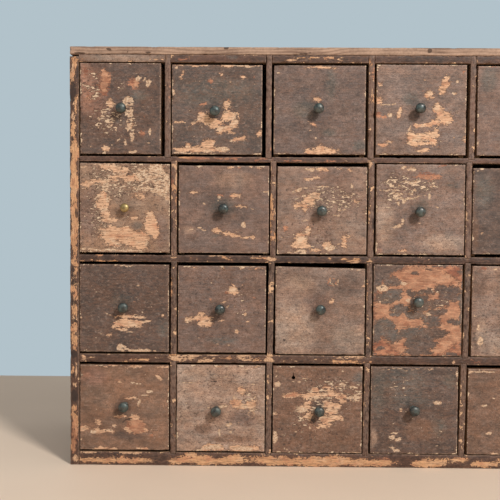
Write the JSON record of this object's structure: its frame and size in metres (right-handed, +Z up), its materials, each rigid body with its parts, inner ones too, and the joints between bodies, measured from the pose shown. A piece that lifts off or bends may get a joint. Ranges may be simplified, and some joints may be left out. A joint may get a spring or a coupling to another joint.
{
  "type": "seed storage cabinet",
  "caption": "Table-top nest of small square drawers in a pine case with thin shelves and uprights, each drawer with a turned metal knob, in worn and chipped dark paint.",
  "frame": {"origin": "middle of the underside of the case, halfway between its front and its back", "axes": "+X along the width to the right as seen from the front, +Y from the front to the back, +Z up; the drawer fronts face -Y"},
  "size_m": [0.702, 0.271, 0.585],
  "materials": {
    "painted_pine": "old dark brown paint on pine, chipped and rubbed",
    "bare_pine": "bare aged pine",
    "knob_bronze": "dull dark bronze with green tarnish",
    "knob_brass": "rubbed yellow brass"
  },
  "bodies": {
    "carcass": {"side_left": "painted_pine", "side_right": "painted_pine", "top_board": "bare_pine", "top_rails": "painted_pine", "bottom_board": "painted_pine", "shelf_upper": "painted_pine", "shelf_middle": "painted_pine", "shelf_lower": "painted_pine", "dividers_row_1": "painted_pine", "dividers_row_2": "painted_pine", "dividers_row_3": "painted_pine", "dividers_row_4": "painted_pine", "back_board_1": "bare_pine", "back_board_2": "bare_pine", "back_board_3": "bare_pine", "back_board_4": "bare_pine", "back_board_5": "bare_pine", "back_board_6": "bare_pine"},
    "drawer_r1c1": {"drawer_r1c1": "painted_pine", "knob_r1c1": "knob_bronze"},
    "drawer_r1c2": {"drawer_r1c2": "painted_pine", "knob_r1c2": "knob_bronze"},
    "drawer_r1c3": {"drawer_r1c3": "painted_pine", "knob_r1c3": "knob_bronze"},
    "drawer_r1c4": {"drawer_r1c4": "painted_pine", "knob_r1c4": "knob_bronze"},
    "drawer_r1c5": {"drawer_r1c5": "painted_pine", "knob_r1c5": "knob_bronze"},
    "drawer_r2c1": {"drawer_r2c1": "painted_pine", "knob_r2c1": "knob_brass"},
    "drawer_r2c2": {"drawer_r2c2": "painted_pine", "knob_r2c2": "knob_bronze"},
    "drawer_r2c3": {"drawer_r2c3": "painted_pine", "knob_r2c3": "knob_bronze"},
    "drawer_r2c4": {"drawer_r2c4": "painted_pine", "knob_r2c4": "knob_bronze"},
    "drawer_r2c5": {"drawer_r2c5": "painted_pine", "knob_r2c5": "knob_bronze"},
    "drawer_r3c1": {"drawer_r3c1": "painted_pine", "knob_r3c1": "knob_bronze"},
    "drawer_r3c2": {"drawer_r3c2": "painted_pine", "knob_r3c2": "knob_bronze"},
    "drawer_r3c3": {"drawer_r3c3": "painted_pine", "knob_r3c3": "knob_bronze"},
    "drawer_r3c4": {"drawer_r3c4": "painted_pine", "knob_r3c4": "knob_bronze"},
    "drawer_r3c5": {"drawer_r3c5": "painted_pine", "knob_r3c5": "knob_bronze"},
    "drawer_r4c1": {"drawer_r4c1": "painted_pine", "knob_r4c1": "knob_bronze"},
    "drawer_r4c2": {"drawer_r4c2": "painted_pine", "knob_r4c2": "knob_bronze"},
    "drawer_r4c3": {"drawer_r4c3": "painted_pine", "knob_r4c3": "knob_bronze"},
    "drawer_r4c4": {"drawer_r4c4": "painted_pine", "knob_r4c4": "knob_bronze"},
    "drawer_r4c5": {"drawer_r4c5": "painted_pine", "knob_r4c5": "knob_bronze"}
  },
  "joints": [
    {"name": "slide_r1c1", "type": "slide", "parent": "carcass", "child": "drawer_r1c1", "axis": [0, -1, 0], "range_m": [0, 0.19]},
    {"name": "slide_r1c2", "type": "slide", "parent": "carcass", "child": "drawer_r1c2", "axis": [0, -1, 0], "range_m": [0, 0.19]},
    {"name": "slide_r1c3", "type": "slide", "parent": "carcass", "child": "drawer_r1c3", "axis": [0, -1, 0], "range_m": [0, 0.19]},
    {"name": "slide_r1c4", "type": "slide", "parent": "carcass", "child": "drawer_r1c4", "axis": [0, -1, 0], "range_m": [0, 0.19]},
    {"name": "slide_r1c5", "type": "slide", "parent": "carcass", "child": "drawer_r1c5", "axis": [0, -1, 0], "range_m": [0, 0.19]},
    {"name": "slide_r2c1", "type": "slide", "parent": "carcass", "child": "drawer_r2c1", "axis": [0, -1, 0], "range_m": [0, 0.19]},
    {"name": "slide_r2c2", "type": "slide", "parent": "carcass", "child": "drawer_r2c2", "axis": [0, -1, 0], "range_m": [0, 0.19]},
    {"name": "slide_r2c3", "type": "slide", "parent": "carcass", "child": "drawer_r2c3", "axis": [0, -1, 0], "range_m": [0, 0.19]},
    {"name": "slide_r2c4", "type": "slide", "parent": "carcass", "child": "drawer_r2c4", "axis": [0, -1, 0], "range_m": [0, 0.19]},
    {"name": "slide_r2c5", "type": "slide", "parent": "carcass", "child": "drawer_r2c5", "axis": [0, -1, 0], "range_m": [0, 0.19]},
    {"name": "slide_r3c1", "type": "slide", "parent": "carcass", "child": "drawer_r3c1", "axis": [0, -1, 0], "range_m": [0, 0.19]},
    {"name": "slide_r3c2", "type": "slide", "parent": "carcass", "child": "drawer_r3c2", "axis": [0, -1, 0], "range_m": [0, 0.19]},
    {"name": "slide_r3c3", "type": "slide", "parent": "carcass", "child": "drawer_r3c3", "axis": [0, -1, 0], "range_m": [0, 0.19]},
    {"name": "slide_r3c4", "type": "slide", "parent": "carcass", "child": "drawer_r3c4", "axis": [0, -1, 0], "range_m": [0, 0.19]},
    {"name": "slide_r3c5", "type": "slide", "parent": "carcass", "child": "drawer_r3c5", "axis": [0, -1, 0], "range_m": [0, 0.19]},
    {"name": "slide_r4c1", "type": "slide", "parent": "carcass", "child": "drawer_r4c1", "axis": [0, -1, 0], "range_m": [0, 0.19]},
    {"name": "slide_r4c2", "type": "slide", "parent": "carcass", "child": "drawer_r4c2", "axis": [0, -1, 0], "range_m": [0, 0.19]},
    {"name": "slide_r4c3", "type": "slide", "parent": "carcass", "child": "drawer_r4c3", "axis": [0, -1, 0], "range_m": [0, 0.19]},
    {"name": "slide_r4c4", "type": "slide", "parent": "carcass", "child": "drawer_r4c4", "axis": [0, -1, 0], "range_m": [0, 0.19]},
    {"name": "slide_r4c5", "type": "slide", "parent": "carcass", "child": "drawer_r4c5", "axis": [0, -1, 0], "range_m": [0, 0.19]}
  ]
}
